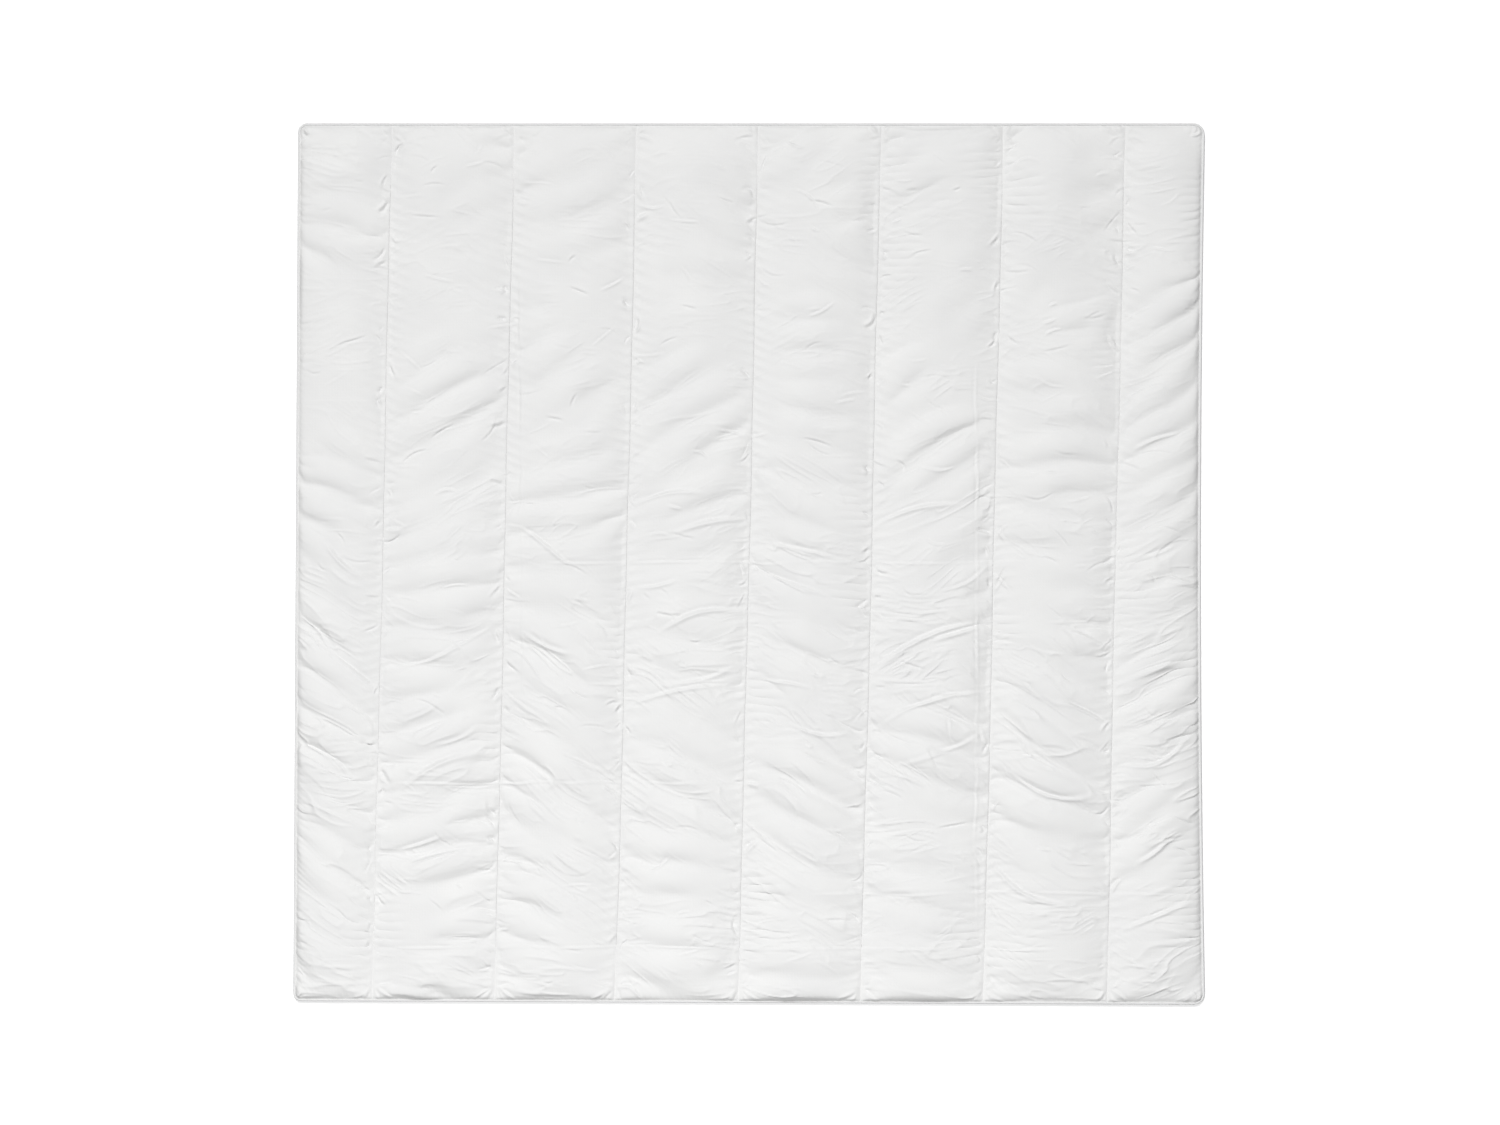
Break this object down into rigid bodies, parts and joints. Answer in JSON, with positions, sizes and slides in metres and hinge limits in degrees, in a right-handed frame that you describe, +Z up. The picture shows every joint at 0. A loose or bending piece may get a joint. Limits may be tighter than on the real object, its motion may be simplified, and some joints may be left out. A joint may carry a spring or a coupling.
{
  "type": "quilted duvet",
  "caption": "White channel-quilted duvet lying flat, with filled channels side by side, piped edges and rounded corners, folding at its quilting lines.",
  "frame": {"origin": "centre of the outline, on the surface that the duvet lies on", "axes": "+X across the channels, from channel 1 to channel 8; +Y from the foot edge to the head edge; +Z up"},
  "size_m": [2.25, 2.18, 0.042],
  "materials": {
    "cover_cloth": "matte",
    "filling_fibre": "matte",
    "sewing_thread": "satin",
    "piping_cloth": "matte"
  },
  "bodies": {
    "channel_1": {"top_cover_1": "cover_cloth", "filling_1": "filling_fibre", "bottom_cover_1": "cover_cloth", "needle_thread_1": "sewing_thread", "bobbin_thread_1": "sewing_thread", "left_piping": "piping_cloth"},
    "channel_2": {"top_cover_2": "cover_cloth", "filling_2": "filling_fibre", "bottom_cover_2": "cover_cloth", "needle_thread_2": "sewing_thread", "bobbin_thread_2": "sewing_thread", "head_piping_2": "piping_cloth", "foot_piping_2": "piping_cloth"},
    "channel_3": {"top_cover_3": "cover_cloth", "filling_3": "filling_fibre", "bottom_cover_3": "cover_cloth", "needle_thread_3": "sewing_thread", "bobbin_thread_3": "sewing_thread", "head_piping_3": "piping_cloth", "foot_piping_3": "piping_cloth"},
    "channel_4": {"top_cover_4": "cover_cloth", "filling_4": "filling_fibre", "bottom_cover_4": "cover_cloth", "needle_thread_4": "sewing_thread", "bobbin_thread_4": "sewing_thread", "head_piping_4": "piping_cloth", "foot_piping_4": "piping_cloth"},
    "channel_5": {"top_cover_5": "cover_cloth", "filling_5": "filling_fibre", "bottom_cover_5": "cover_cloth", "needle_thread_5": "sewing_thread", "bobbin_thread_5": "sewing_thread", "head_piping_5": "piping_cloth", "foot_piping_5": "piping_cloth"},
    "channel_6": {"top_cover_6": "cover_cloth", "filling_6": "filling_fibre", "bottom_cover_6": "cover_cloth", "needle_thread_6": "sewing_thread", "bobbin_thread_6": "sewing_thread", "head_piping_6": "piping_cloth", "foot_piping_6": "piping_cloth"},
    "channel_7": {"top_cover_7": "cover_cloth", "filling_7": "filling_fibre", "bottom_cover_7": "cover_cloth", "needle_thread_7": "sewing_thread", "bobbin_thread_7": "sewing_thread", "head_piping_7": "piping_cloth", "foot_piping_7": "piping_cloth"},
    "channel_8": {"top_cover_8": "cover_cloth", "filling_8": "filling_fibre", "bottom_cover_8": "cover_cloth", "right_piping": "piping_cloth"}
  },
  "joints": [
    {"name": "fold_1", "type": "hinge", "parent": "channel_2", "child": "channel_1", "pos_m": [-0.909, 0, 0.009], "axis": [0.0222, 0.9998, 0], "range_deg": [-120, 120]},
    {"name": "fold_2", "type": "hinge", "parent": "channel_3", "child": "channel_2", "pos_m": [-0.606, 0, 0.009], "axis": [-0.0222, -0.9998, 0], "range_deg": [-120, 120]},
    {"name": "fold_3", "type": "hinge", "parent": "channel_4", "child": "channel_3", "pos_m": [-0.303, 0, 0.009], "axis": [0.0222, 0.9998, 0], "range_deg": [-120, 120]},
    {"name": "fold_4", "type": "hinge", "parent": "channel_4", "child": "channel_5", "pos_m": [0, 0, 0.009], "axis": [0.0222, 0.9998, 0], "range_deg": [-120, 120]},
    {"name": "fold_5", "type": "hinge", "parent": "channel_5", "child": "channel_6", "pos_m": [0.303, 0, 0.009], "axis": [-0.0222, -0.9998, 0], "range_deg": [-120, 120]},
    {"name": "fold_6", "type": "hinge", "parent": "channel_6", "child": "channel_7", "pos_m": [0.606, 0, 0.009], "axis": [0.0222, 0.9998, 0], "range_deg": [-120, 120]},
    {"name": "fold_7", "type": "hinge", "parent": "channel_7", "child": "channel_8", "pos_m": [0.909, 0, 0.009], "axis": [-0.0222, -0.9998, 0], "range_deg": [-120, 120]}
  ]
}
